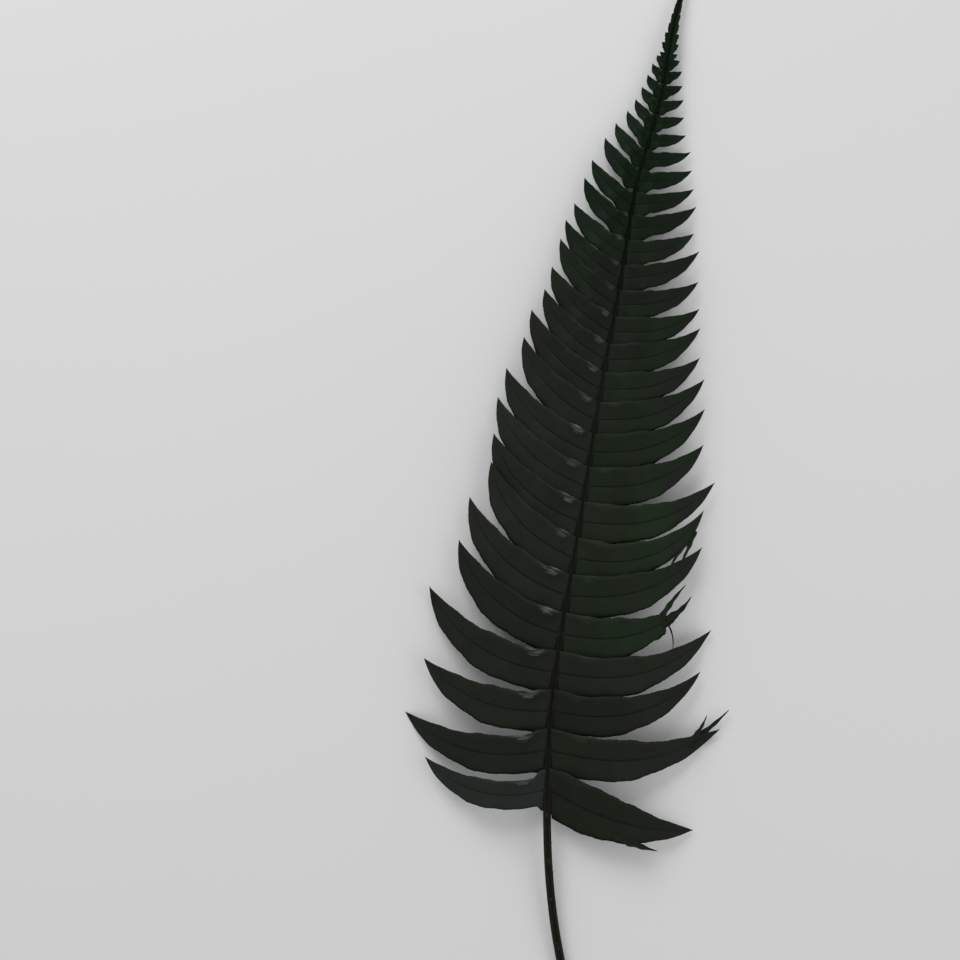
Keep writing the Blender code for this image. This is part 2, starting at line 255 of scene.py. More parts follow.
@dataclass(frozen=True)
class Habit:
    """How a pinna runs, how wide it is, and how its surface bends.

    Places along it are shares of its length, places across run from 0 at the midrib to 1 at a margin, widths
    are shares of the spacing, and heights are in metres. A pair is a start and the stretch after it, or the
    least value and what chance adds. The painted highlight on the curled margin starts at the first value
    less the second times the strength of its bell along the midrib, and comes in over the third.
    """

    curl_power: float = 1.3
    midrib_steps: int = 121
    root_width: float = 1.05
    joined_fade: tuple[float, float] = (0.0016, 0.55)
    taper_start: float = 0.35
    tip_width: float = 0.0003
    root_in: float = 0.35
    root_up: float = 0.25
    root_blend: float = 0.14
    margin_waves: tuple[tuple[float, float], ...] = ((3.1, 0.035), (7.3, 0.020), (23.0, 0.009), (41.0, 0.006))
    lift_start: float = 0.6
    ripple_turns: float = 2.6
    ripple_height: float = 0.0005
    fine_turns: float = 8.5
    fine_height: float = 0.00016
    louvre: float = math.radians(10)
    root_louvre: float = 0.55
    keel: float = 0.05
    overlap: float = 0.07
    overlap_end: tuple[float, float] = (0.35, 0.60)
    overlap_fill: tuple[float, float] = (0.84, 0.10)
    wave_blend: float = 0.5
    roll_start: float = 0.80
    roll_depth: float = 0.00035
    vein_pitch: float = 0.0021
    vein_slope: float = 0.55
    quilt_height: float = 0.00002
    curl_at: float = 0.11
    curl_width: float = 0.085
    curl_start: float = 0.25
    # Where the painted highlight on the curled root margin lies along and across the pinna.
    highlight_at: float = 0.12
    highlight_width: float = 0.070
    highlight_margin: tuple[float, float, float] = (0.94, 0.34, 0.08)
    shift: float = 0.05
    broad: tuple[float, float] = (0.010, 0.008)
    curl_chance: tuple[float, float] = (0.45, 0.75)


HABIT = Habit()
BASE_CURL = {Side.LEFT: 0.0017, Side.RIGHT: 0.0004}
# How strong the painted highlight on the curled root margin is, on each side.
PAINTED_HIGHLIGHT = {Side.LEFT: 1.0, Side.RIGHT: 0.10}
TAPER_POWER = {Side.LEFT: 2.1, Side.RIGHT: 1.65}

# The least greenness of a side, how far back from the tip it starts to fall, and the stretch that it takes.
GREEN = {Side.LEFT: (0.15, 0.08, 0.20), Side.RIGHT: (0.35, 0.335, 0.06)}


@dataclass(frozen=True)
class Pinna:
    """One leaflet: where it leaves the rachis, how long, wide and bent it is, and its chance waves."""

    side: Side
    index: int
    at: float
    back: float
    spacing: float
    length: float
    chord: float
    curl: float
    fill: float
    radius: float
    phases: tuple[float, float]
    lift: float
    lowest: float

    def midrib(self, share: Array) -> tuple[Array, Array, Array]:
        """The midrib in plan: a line whose heading rises with a power of the share.

        Args:
            share: Shares of the midrib from root to tip.

        Returns:
            The distance out, the distance towards the frond's tip, and the heading in radians.
        """
        fine = np.linspace(0, 1, HABIT.midrib_steps)
        bend = fine ** HABIT.curl_power - 1 / (HABIT.curl_power + 1)
        heading = np.radians(self.chord + self.curl * bend)
        middle = (heading[1:] + heading[:-1]) / 2
        step = self.length / (HABIT.midrib_steps - 1)
        out = np.concatenate([[0], np.cumsum(np.cos(middle) * step)])
        up = np.concatenate([[0], np.cumsum(np.sin(middle) * step)])
        return np.interp(share, fine, out), np.interp(share, fine, up), np.interp(share, fine, heading)

    def half_width(self, share: Array) -> Array:
        """Half the width: the spacing's fill times the taper, full where the roots have grown together.

        The taper is 1 - s^p, s being the share of the way from where it starts to the tip. Broad pinnae lap
        over their neighbours up to a share of their length, and small waves make the margins uneven.

        Args:
            share: Shares of the midrib.

        Returns:
            The half widths there.
        """
        start = HABIT.taper_start
        taper = 1 - np.clip((share - start) / (1 - start), 0, 1) ** TAPER_POWER[self.side]
        reach = float(JOINED(self.back))
        fade = HABIT.joined_fade[0] + HABIT.joined_fade[1] * reach
        joined = smooth_step((share * self.length - reach) / fade + 0.5)
        fill = HABIT.root_width + (self.fill - HABIT.root_width) * joined
        first, last = HABIT.overlap_end
        lapped = smooth_step((self.fill - HABIT.overlap_fill[0]) / HABIT.overlap_fill[1])
        fill = fill + HABIT.overlap * (1 - smooth_step((share - first) / (last - first))) * lapped
        width = np.maximum(self.spacing * fill * taper, HABIT.tip_width)
        waves = sum(size * np.sin(2 * math.pi * (turns * share + phase))
                    for (turns, size), phase in zip(HABIT.margin_waves, self.phases + self.phases[::-1]))
        free = smooth_step(share / HABIT.root_blend) * smooth_step(share / HABIT.wave_blend)
        return width / 2 * (1 + free * waves)

    def surface(self, line: MiddleLine, share: Array, across: Array) -> tuple[Array, Array]:
        """The middle surface over share and across, from -1 at the margin nearer the stipe to 1.

        In plan a point lies half a width times its place across beside the midrib, square to it. Its height
        is the common sheet's, plus the tilt that lifts the margin nearer the tip, a keel along the midrib,
        ripples that grow towards the margins, margins that roll under, a curl at the root's upper margin,
        a fine quilting between the side veins, and the lift of the end.

        Args:
            line: The rachis.
            share: Shares of the midrib, one for each row.
            across: Places across, one for each column, or a full grid of them.

        Returns:
            The grid of points, and the half width of each row.
        """
        out, up, turn = self.midrib(share)
        half = self.half_width(share)
        free = smooth_step(share / HABIT.root_blend)
        side_step = half[:, None] * across
        lean = (turn * free)[:, None]
        grid_out = out[:, None] - side_step * np.sin(lean)
        grid_up = up[:, None] + side_step * np.cos(lean)
        place = self.at + grid_up
        at = np.array(self.at)
        ahead, outward, root = line.ahead(at), self.side.value * line.right(at), line.point(at)
        points = root + outward * (grid_out + HABIT.root_in * self.radius)[..., None]
        points = points + ahead * grid_up[..., None]

        taper = 1 - share ** 4
        edge = np.abs(across)
        louvre = HABIT.root_louvre + (1 - HABIT.root_louvre) * free[:, None]
        height = line.sheet_height(place, grid_out, self.side) + math.sin(HABIT.louvre) * side_step * louvre
        height = height - HABIT.keel * 2 * half[:, None] * (1 - edge) * free[:, None]
        ripple = HABIT.ripple_height * np.sin(2 * math.pi * (HABIT.ripple_turns * share + self.phases[0]))
        fine = HABIT.fine_height * np.sin(2 * math.pi * (HABIT.fine_turns * share + self.phases[1]))
        height = height + (ripple * free * taper)[:, None] * across
        height = height + (fine * free * taper)[:, None] * across * edge
        roll = smooth_step((edge - HABIT.roll_start) / (1 - HABIT.roll_start))
        height = height - HABIT.roll_depth * roll ** 2 * (free * taper)[:, None]
        curl = bell(share, HABIT.curl_at + HABIT.shift * self.phases[1], HABIT.curl_width)
        curl = curl * BASE_CURL[self.side] * self.curl_amount()
        curled = smooth_step((across - HABIT.curl_start) / (1 - HABIT.curl_start))
        height = height + curl[:, None] * curled ** 2
        height = height + HABIT.quilt_height * np.sin(math.pi * self.veins(share, half, across)) * edge
        height = height + self.lift * (
            np.clip((share - HABIT.lift_start) / (1 - HABIT.lift_start), 0, 1) ** 2)[:, None]
        points[..., 2] = height + HABIT.root_up * self.radius * (1 - free[:, None])
        points[..., 2] = np.maximum(points[..., 2], self.lowest)
        return points, half

    def scuff(self, share: Array, across: Array) -> Array:
        """The painted highlight on the curled margin at the root: a bell along the midrib, 0 but near the
        margin.

        Args:
            share: Shares of the midrib, one for each row.
            across: The grid of places across.

        Returns:
            The painted highlight over the grid.
        """
        along = bell(share, HABIT.highlight_at + HABIT.shift * self.phases[1], HABIT.highlight_width)[:, None]
        narrowest, breadth, soft = HABIT.highlight_margin
        start = narrowest - breadth * along
        return PAINTED_HIGHLIGHT[self.side] * self.curl_amount() * along * smooth_step((across - start) / soft)

    def greenness(self) -> float:
        """1 at the tip of the frond, falling off downwards: soon on the left, and late on the right."""
        least, start, fall = GREEN[self.side]
        return 1 - (1 - least) * float(smooth_step((self.back - start) / fall))

    def curl_amount(self) -> float:
        """How far the upper margin curls up at the root: more on broad pinnae, differing by chance."""
        (start, span), (least, spread) = HABIT.broad, HABIT.curl_chance
        return float(np.clip((self.spacing - start) / span, 0, 1)) * (least + spread * self.phases[0])

    def veins(self, share: Array, half: Array, across: Array) -> Array:
        """The count of side veins met so far: the run along the midrib less a slope times the way across."""
        slant = HABIT.vein_slope * half[:, None] * np.abs(across)
        return (share[:, None] * self.length - slant) / HABIT.vein_pitch


class Growth:
    """The rachis and every pinna on it, from the lowest pair upwards."""

    SEED = 4
    LENGTH_SPREAD = 0.035
    CHORD_SPREAD = 2.5
    MOST_LIFT = 0.006
    RESTING = ((Side.RIGHT, 16), (Side.LEFT, 1))

    def __init__(self) -> None:
        """Draws each pinna by the laws, with a seeded spread of length, heading, waves and lift."""
        self.line = MiddleLine()
        draw = random.Random(self.SEED)
        self.pinnae: list[Pinna] = []
        for side in (Side.RIGHT, Side.LEFT):
            edge, index = self.line.lamina_start(), 0
            spacing = float(SPACING(self.line.back(edge)))
            while self.line.back(edge + spacing) > TIP_LENGTH:
                self.pinnae.append(self.grow(draw, side, index, edge + spacing / 2, spacing))
                edge += spacing
                spacing = float(SPACING(self.line.back(edge)))
                index += 1

    def grow(self, draw: random.Random, side: Side, index: int, at: float, spacing: float) -> Pinna:
        """One pinna, sized by the laws.

        Args:
            draw: The seeded draw, used once for the length, once for the heading, twice for the waves and
                once for the lift.
            side: Its side of the rachis.
            index: Its number, from the lowest.
            at: Its place along the rachis.
            spacing: The stretch of rachis that it takes up.

        Returns:
            The pinna.
        """
        back = float(self.line.back(at))
        long, turned, wide, bent = SINGLE.get((side, index), (1.0, 0.0, 1.0, 0.0))
        long *= 1 + draw.uniform(-1, 1) * self.LENGTH_SPREAD
        chord = float(CHORD[side](back)) + turned + draw.uniform(-1, 1) * self.CHORD_SPREAD
        phases = (draw.random(), draw.random())
        lift = draw.random() * self.MOST_LIFT
        rests = (side, index) in self.RESTING
        return Pinna(
            side=side, index=index, at=at, back=back, spacing=spacing,
            length=float(LENGTH(back)) * SIDE_LENGTH[side] * long,
            chord=chord,
            curl=float(CURL[side](back)) + bent,
            fill=float(FILL(back)) * wide,
            radius=float(RADIUS(back)),
            phases=phases,
            lift=-REST_BEND if rests else lift,
            lowest=REST_HEIGHT if rests else EDGE_HEIGHT,
        )

    def row(self, side: Side) -> list[Pinna]:
        """The pinnae of one side."""
        return [pinna for pinna in self.pinnae if pinna.side is side]


# Meshes


def link(name: str, data: bpy.types.ID) -> bpy.types.Object:
    """A new object of that data, linked to the scene."""
    made = bpy.data.objects.new(name, data)
    bpy.context.scene.collection.objects.link(made)
    return made


def grid_faces(rows: int, columns: int) -> Array:
    """The four-sided faces of a grid of points, row by row."""
    corner = np.arange(rows * columns).reshape(rows, columns)
    return np.stack([corner[:-1, :-1], corner[1:, :-1], corner[1:, 1:], corner[:-1, 1:]], -1).reshape(-1, 4)


def shell(points: Array, over: Array, under: Array, flip: bool) -> tuple[Array, Array]:
    """A closed thin body about a grid: the grid pushed out both ways along its normals, and a rim.

    The normal is the cross product of the grid's two directions. The rim joins the two outlines.

    Args:
        points: The middle surface.
        over: How far the upper face stands off it.
        under: How far the lower face stands off it.
        flip: Whether the grid's own normal points down.

    Returns:
        The points, upper face first, and the faces.
    """
    rows, columns = points.shape[:2]
    normal = unit(np.cross(np.gradient(points, axis=0), np.gradient(points, axis=1))) * (-1 if flip else 1)
    corners = np.concatenate([(points + normal * over[..., None]).reshape(-1, 3),
                              (points - normal * under[..., None]).reshape(-1, 3)])
    upper = grid_faces(rows, columns)
    corner = np.arange(rows * columns).reshape(rows, columns)
    outline = np.concatenate([corner[:, 0], corner[-1, 1:], corner[-2::-1, -1], corner[0, -2:0:-1]])
    following = np.roll(outline, -1)
    size = rows * columns
    rim = np.stack([following, outline, outline + size, following + size], axis=-1)
    faces = np.concatenate([upper, upper[:, ::-1] + size, rim])
    return corners, faces[:, ::-1] if flip else faces


def tube(centres: Array, right: Array, up: Array, radii: Array, angles: Array) -> Array:
    """A profile carried along a path: each ring lies at centre + radius (cos a right + sin a up).

    Args:
        centres: The path.
        right: The direction to its right at each centre.
        up: The direction square to both.
        radii: The radius at each centre and angle.
        angles: The angles around, from the right.

    Returns:
        The rings.
    """
    across = np.cos(angles)[None, :, None] * right[:, None]
    above = np.sin(angles)[None, :, None] * up[:, None]
    return centres[:, None] + radii[..., None] * (across + above)


class Piece:
    """A sub-assembly whose shapes are gathered in one object and dressed in one finish."""

    name = ""

    def shapes(self, growth: Growth) -> Iterator[Shape]:
        """The points of each shape, its faces, and what the shader reads at the points, by name."""
        raise NotImplementedError

    def build(self, growth: Growth, finish: bpy.types.Material) -> bpy.types.Object:
        """Makes the object, which rides with the frond, stands for its solid and takes its slot.

        Args:
            growth: The frond.
            finish: The material of the whole piece.

        Returns:
            The object, at the origin.
        """
        points, faces, values = zip(*self.shapes(growth))
        corners = [grid.reshape(-1, 3) for grid in points]
        sizes = [len(part) for part in corners]
        faces = [part + start for part, start in zip(faces, np.cumsum([0, *sizes]))]
        mesh = bpy.data.meshes.new(self.name)
        mesh.from_pydata(np.concatenate(corners).tolist(), [], np.concatenate(faces).tolist())
        for title in values[0]:
            parts = [np.broadcast_to(np.ravel(value[title]), size) for value, size in zip(values, sizes)]
            layer = mesh.attributes.new(title, "FLOAT", "POINT")
            layer.data.foreach_set("value", np.concatenate(parts).astype(np.float32))
        shape = bmesh.new()
        shape.from_mesh(mesh)
        bmesh.ops.remove_doubles(shape, verts=shape.verts, dist=WELD)
        shape.to_mesh(mesh)
        shape.free()
        mesh.shade_smooth()
        mesh.materials.append(finish)
        piece = link(self.name, mesh)
        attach(piece, BODY)
        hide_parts(NODE)
        LOG.info("%s: %d corners, %d faces", self.name, len(mesh.vertices), len(mesh.polygons))
        return piece


# Shaders


class Wire:
    """One output socket of a material, on which sums can be written."""

    def __init__(self, graph: "Graph", socket: bpy.types.NodeSocket) -> None:
        """Keeps the socket and the graph that it belongs to."""
        self.graph = graph
        self.socket = socket

    def maths(self, operation: str, *others: "Wire | float") -> "Wire":
        """A Math node on this value and up to two others."""
        return self.graph.node("ShaderNodeMath", {"operation": operation}, dict(enumerate((self, *others))))

    def __add__(self, other: "Wire | float") -> "Wire":
        """This plus the other."""
        return self.maths("ADD", other)

    __radd__ = __add__

    def __mul__(self, other: "Wire | float") -> "Wire":
        """This times the other."""
        return self.maths("MULTIPLY", other)

    __rmul__ = __mul__

    def __sub__(self, other: "Wire | float") -> "Wire":
        """This less the other."""
        return self.maths("SUBTRACT", other)

    def __rsub__(self, other: float) -> "Wire":
        """The other less this."""
        return self.maths("MULTIPLY_ADD", -1.0, other)

    def __abs__(self) -> "Wire":
        """This without its sign."""
        return self.maths("ABSOLUTE")

    def fraction(self) -> "Wire":
        """What is left of this past a whole number."""
        return self.maths("FRACT")

    def ramp(self, low: float, high: float) -> "Wire":
        """0 below low, 1 above high, smooth between; low above high turns it round.

        Args:
            low: Where it is still 0.
            high: Where it is 1.

        Returns:
            The ramp.
        """
        settings = {"interpolation_type": "SMOOTHSTEP"}
        falling = low > high
        ends = (high, low) if falling else (low, high)
        values = {0: self, 1: ends[0], 2: ends[1], 3: float(falling), 4: float(not falling)}
        return self.graph.node("ShaderNodeMapRange", settings, values)


class Graph:
    """The node tree of one material, with its Principled shader."""

    def __init__(self, name: str) -> None:
        """Starts a material with only a Principled shader and its output."""
        self.material = bpy.data.materials.new(name)
        self.material.use_nodes = True
        self.tree = self.material.node_tree
        self.shader = self.tree.nodes["Principled BSDF"]

    def node(self, kind: str, settings: dict | None = None, values: dict | None = None,
             output: str | int = 0) -> Wire:
        """Adds a node.

        Args:
            kind: The node's type.
            settings: Its properties, such as a Math node's operation, set first.
            values: Numbers, colours or wires for its sockets, by name or number.
            output: The output that is wanted.

        Returns:
            That output.
        """
        made = self.tree.nodes.new(kind)
        for key, value in (settings or {}).items():
            setattr(made, key, value)
        for key, value in (values or {}).items():
            self.feed(made.inputs[key], value)
        return Wire(self, made.outputs[output])

    def feed(self, socket: bpy.types.NodeSocket, value: "Wire | float | tuple") -> None:
        """Links a wire to a socket, or sets its number or colour.

        Args:
            socket: The socket.
            value: A wire, a number, or three values, which get an alpha of 1 where the socket is a colour.
        """
        if isinstance(value, Wire):
            self.tree.links.new(value.socket, socket)
        elif isinstance(value, tuple) and socket.type == "RGBA":
            socket.default_value = (*value, 1.0)
        else:
            socket.default_value = value

    def finish(self, **values: "Wire | float | tuple") -> bpy.types.Material:
        """Feeds the Principled shader, its sockets named with _ for a space, and gives the material."""
        for key, value in values.items():
            self.feed(self.shader.inputs[key.replace("_", " ")], value)
        return self.material

    def attribute(self, name: str) -> Wire:
        """A value that the mesh carries."""
        return self.node("ShaderNodeAttribute", {"attribute_name": name}, output="Fac")

    def place(self) -> Wire:
        """Object coordinates, in metres."""
        return self.node("ShaderNodeTexCoord", output="Object")

    def towards_tip(self, low: float, high: float) -> Wire:
        """0 below the first Y and 1 above the second, in metres, smooth between."""
        return self.node("ShaderNodeSeparateXYZ", None, {0: self.place()}, output="Y").ramp(low, high)

    def noise(self, scale: float, detail: float = 3.0, stretch: Colour = (1.0, 1.0, 1.0),
              vector: Wire | None = None) -> Wire:
        """Soft noise about 0.5, with features of 1 / scale, longer where stretch is small.

        Args:
            scale: How fine it is.
            detail: How many finer layers it has.
            stretch: How fine it is along each axis, against scale.
            vector: What it is read at, or Object coordinates in metres.

        Returns:
            The noise.
        """
        at = self.node("ShaderNodeMapping", None, {"Vector": vector or self.place(), "Scale": stretch})
        return self.node("ShaderNodeTexNoise", None, {"Vector": at, "Scale": scale, "Detail": detail})

    def specks(self, scale: float, size: float) -> Wire:
        """Round specks, 1 inside and 0 outside, in cells of 1 / scale metres."""
        near = self.node("ShaderNodeTexVoronoi", None, {"Vector": self.place(), "Scale": scale})
        return near.ramp(size, size * 0.5)

    def blend(self, share: "Wire | float", first: "Wire | Colour", second: "Wire | Colour") -> Wire:
        """A mix of two colours: the first at share 0 and the second at share 1."""
        return self.node("ShaderNodeMix", {"data_type": "RGBA"}, {0: share, 6: first, 7: second}, output=2)

    def scaled(self, colour: "Wire | Colour", amount: Wire) -> Wire:
        """A colour times a number."""
        return self.node("ShaderNodeVectorMath", {"operation": "SCALE"}, {0: colour, "Scale": amount})

    def bump(self, height: Wire, distance: float) -> Wire:
        """A normal from heights between 0 and 1 that stand for that distance in metres."""
        return self.node("ShaderNodeBump", None, {"Strength": 1.0, "Distance": distance, "Height": height})


@dataclass(frozen=True)
class LeafFinish:
    """Dyed, dried leaf: near-black green, greener on one side, with a dull sheen and sunken veins."""

    name: str = "dyed_leaf"
    left: Colour = (0.0142, 0.0170, 0.0127)
    right: Colour = (0.0134, 0.0185, 0.0118)
    lush: Colour = (0.0113, 0.0236, 0.0098)
    brown: Colour = (0.0168, 0.0171, 0.0146)
    teal: Colour = (0.0202, 0.0257, 0.0224)
    young: Colour = (0.0016, 0.0095, 0.0016)
    fresh: Colour = (0.0055, 0.0150, 0.0065)
    under: Colour = (0.0215, 0.0255, 0.0215)
    dust: Colour = (0.10, 0.11, 0.105)
    # The colour of the painted highlight on the margins that curl up at the root.
    pale: Colour = (0.125, 0.140, 0.125)
    roughness: float = 0.52
    specular: float = 0.08
    broad: float = 38.0
    middle: float = 160.0
    grain: float = 2600.0
    streak: Colour = (0.32, 13.0, 7.0)
    darker: tuple[float, float] = (0.32, 0.41)
    greener: tuple[float, float] = (0.395, 0.465)
    relief: float = 0.00022

    def build(self) -> bpy.types.Material:
        """The material.

        Colour goes from the left tint to the right one by the greenness, with lush patches on the right,
        brown ones on the left and teal where a pinna's tone is high, a paler tone that is in part a painted
        sheen. It is darker and greener towards the tip of the frond, and streaks follow the side veins. The
        midrib is darker, side veins are a little lighter, the underside is paler, the lower margin has
        painted shade where its neighbour laps over it, a painted light line runs along the upper margin and
        fades towards the pinna's end, and margins that curl up at the root carry painted highlights. Height
        is veins, a fine grain and broad wrinkles.
        """
        graph = Graph(self.name)
        across, share, tone = (graph.attribute(name) for name in ("across", "share", "tone"))
        green, upper, vein, scuff = (graph.attribute(name) for name in ("green", "upper", "vein", "scuff"))
        broad = graph.noise(self.broad, 3.0)
        middle = graph.noise(self.middle, 4.0, (1.0, 0.6, 1.0))
        grain = graph.noise(self.grain, 2.0)
        along = graph.node("ShaderNodeCombineXYZ", None, {0: vein, 1: across, 2: tone})
        streak = graph.noise(1.0, 3.0, self.streak, along)
        high = graph.towards_tip(*self.greener)
        edge = abs(across)

        colour = graph.blend(green, self.left, self.right)
        colour = graph.blend(
            green * broad.ramp(0.42, 0.60) * share.ramp(-0.08, 0.22) * 0.9, colour, self.lush)
        colour = graph.blend((1 - green) * broad.ramp(0.56, 0.40) * 0.5, colour, self.brown)
        # Teal where the tone is high: a paler tone that is in part a painted sheen.
        colour = graph.blend(tone.ramp(0.86, 1.0) * 0.8, colour, self.teal)
        colour = graph.blend(share.ramp(0.80, 1.0) * middle.ramp(0.4, 0.6) * 0.45, colour, self.brown)
        colour = graph.blend((1 - upper) * 0.85, colour, self.under)
        end = graph.blend(share.ramp(0.1, 0.9), self.young, self.fresh)
        colour = graph.blend(high * 0.9, colour, end)
        colour = graph.scaled(colour, (0.80 + 0.27 * tone) * (0.82 + 0.36 * middle))
        colour = graph.scaled(
            colour, (0.86 + 0.28 * streak) * (1 - 0.28 * graph.towards_tip(*self.darker) * (1 - high)))

        ridge = (abs(vein.fraction() - 0.5) * 2.0).ramp(0.72, 1.0)
        groove = edge.ramp(0.075, 0.015)
        colour = graph.scaled(colour, (1 - 0.48 * groove * upper) * (1 + 0.04 * ridge))
        # Painted shade along the lower margin, where the neighbour's upper margin laps over it; the very
        # upper margin is also a little darker.
        colour = graph.scaled(colour, 1 - 0.52 * across.ramp(-0.84, -0.97) - 0.24 * across.ramp(0.96, 1.0))
        # Painted highlight: a light line along the upper margin, fading towards the pinna's end.
        colour = graph.scaled(colour, 1 + 0.34 * across.ramp(0.80, 0.92) * (1 - share))
        dusty = graph.specks(620.0, 0.10) * graph.noise(300.0, 1.0).ramp(0.60, 0.66) * upper
        colour = graph.blend(dusty * 0.65, colour, self.dust)
        # Painted highlight: pale streaks where the upper margin curls up at the root.
        colour = graph.blend(scuff * streak.ramp(0.34, 0.66), colour, self.pale)

        rough = self.roughness + 0.16 * (middle - 0.5) + 0.10 * (1 - upper) + 0.12 * dusty
        height = 0.12 * ridge + 0.20 * grain + 0.60 * middle - 0.25 * groove
        return graph.finish(Base_Color=colour, Roughness=rough, Specular_IOR_Level=self.specular,
                            Normal=graph.bump(height, self.relief))


@dataclass(frozen=True)
class StalkFinish:
    """Stipe and rachis: dark grey-brown with a blacker groove, lengthwise fibres and a pale cut end."""

    name: str = "stalk_bark"
    ridge: Colour = (0.0084, 0.0092, 0.0074)
    groove: Colour = (0.0052, 0.0058, 0.0046)
    # The lighter colour at each pinna's root: a painted highlight on its cushion.
    joint: Colour = (0.0200, 0.0210, 0.0180)
    stipe: Colour = (0.0170, 0.0135, 0.0100)
    tip: Colour = (0.0006, 0.0024, 0.0006)
    pith: Colour = (0.0900, 0.0680, 0.0430)
    bundle: Colour = (0.0180, 0.0130, 0.0090)
    fibre: float = 900.0
    patch: float = 90.0
    bundles: float = 1300.0
    darker: tuple[float, float] = (0.33, 0.45)
    relief: float = 0.00025

    def build(self) -> bpy.types.Material:
        """The material: stipe, groove, joints with a painted highlight, and cut end by the mesh's values, and
        darker to the tip.
        """
        graph = Graph(self.name)
        groove, joint, cut = (graph.attribute(name) for name in ("groove", "joint", "cut"))
        stipe, ring = graph.attribute("stipe"), graph.attribute("ring")
        fibre = graph.noise(self.fibre, 3.0, (1.0, 0.06, 1.0))
        patch = graph.noise(self.patch, 4.0)
        colour = graph.blend(stipe, self.ridge, self.stipe)
        colour = graph.blend(groove, colour, self.groove)
        # Painted highlight on the cushion at each pinna's root, in patches.
        colour = graph.blend(joint * patch.ramp(0.38, 0.60) * 0.8, colour, self.joint)
        colour = graph.scaled(colour, (0.6 + 0.8 * fibre) * (0.7 + 0.6 * patch))
        colour = graph.blend(graph.towards_tip(*self.darker), colour, self.tip)
        bundles = ring.ramp(0.25, 0.45) * ring.ramp(0.80, 0.62) * graph.specks(self.bundles, 0.34)
        end = graph.blend(bundles, self.pith, self.bundle)
        end = graph.blend(ring.ramp(0.86, 0.97), end, self.bundle)
        colour = graph.blend(cut, colour, end)
        height = 0.6 * fibre + 0.4 * patch
        return graph.finish(Base_Color=colour, Roughness=0.55 + 0.22 * patch, Specular_IOR_Level=0.07,
                            Normal=graph.bump(height, self.relief))


@dataclass(frozen=True)
class ScaleFinish:
    """Thin, papery scales and hairs: brown, darker along the middle."""

    name: str = "dry_scale"
    pale: Colour = (0.060, 0.040, 0.022)
    dark: Colour = (0.012, 0.009, 0.006)

    def build(self) -> bpy.types.Material:
        """The material: from dark at the root and middle to pale at the edge and end."""
        graph = Graph(self.name)
        share, across, tone = (graph.attribute(name) for name in ("share", "across", "tone"))
        fibre = graph.noise(3500.0, 2.0)
        light = share * 0.5 + abs(across) * 0.35 + tone * 0.25
        colour = graph.blend(light.ramp(0.15, 0.95), self.dark, self.pale)
        return graph.finish(Base_Color=colour, Roughness=0.55 + 0.2 * fibre, Specular_IOR_Level=0.3,
                            Normal=graph.bump(fibre, 0.00005))


@dataclass(frozen=True)
class FloorFinish:
    """The plain pale floor: matt, with the faintest mottling."""

    name: str = "pale_floor"
    colour: Colour = (0.75, 0.75, 0.755)

    def build(self) -> bpy.types.Material:
        """The material."""
        graph = Graph(self.name)
        mottle = graph.noise(3.0, 2.0)
        colour = graph.scaled(self.colour, 0.985 + 0.03 * mottle)
        return graph.finish(Base_Color=colour, Roughness=0.85, Specular_IOR_Level=0.15)


# Sub-assemblies


@dataclass(frozen=True)
class BladeSection:
    """The section of a blade: how thick it is from margin to margin, and its midrib."""

    columns: tuple[float, ...] = (0.0, 0.022, 0.050, 0.10, 0.19, 0.31, 0.45, 0.60, 0.74, 0.86, 0.95, 1.0)
    middle_half: float = 0.00017
    margin_half: float = 0.00008
    groove_depth: float = 0.00012
    groove_width: float = 0.028
    rib_height: float = 0.00042
    rib_width: float = 0.045

    def across(self) -> Array:
        """The places across, from -1 to 1, closest beside the midrib."""
        half = np.array(self.columns)
        return np.concatenate([-half[:0:-1], half])

    def offsets(self, share: Array, across: Array) -> tuple[Array, Array]:
        """How far the two faces stand off the middle surface.

        The blade thins from the midrib to the margins as 1 - edge^2. A groove sinks the upper face and a
        rib swells the lower one, both bell-shaped across and fading to the tip.

        Args:
            share: Shares of the midrib.
            across: A grid of places across.

        Returns:
            The upper and lower offsets.
        """
        edge = np.abs(across)
        body = self.margin_half + (self.middle_half - self.margin_half) * (1 - edge ** 2)
        fade = (1 - share ** 2)[:, None]
        over = body - self.groove_depth * bell(across, 0, self.groove_width) * fade
        under = body + self.rib_height * bell(across, 0, self.rib_width) * fade
        return over, under


@dataclass(frozen=True)
class Torn:
    """A pinna whose end has broken off: where, how deep and slanted, its waves, and where it starts."""

    end: float
    depth: float
    slant: float
    teeth: tuple[tuple[float, float], ...] = ((23.0, 1.1), (9.0, 0.4))
    start: float = 0.72


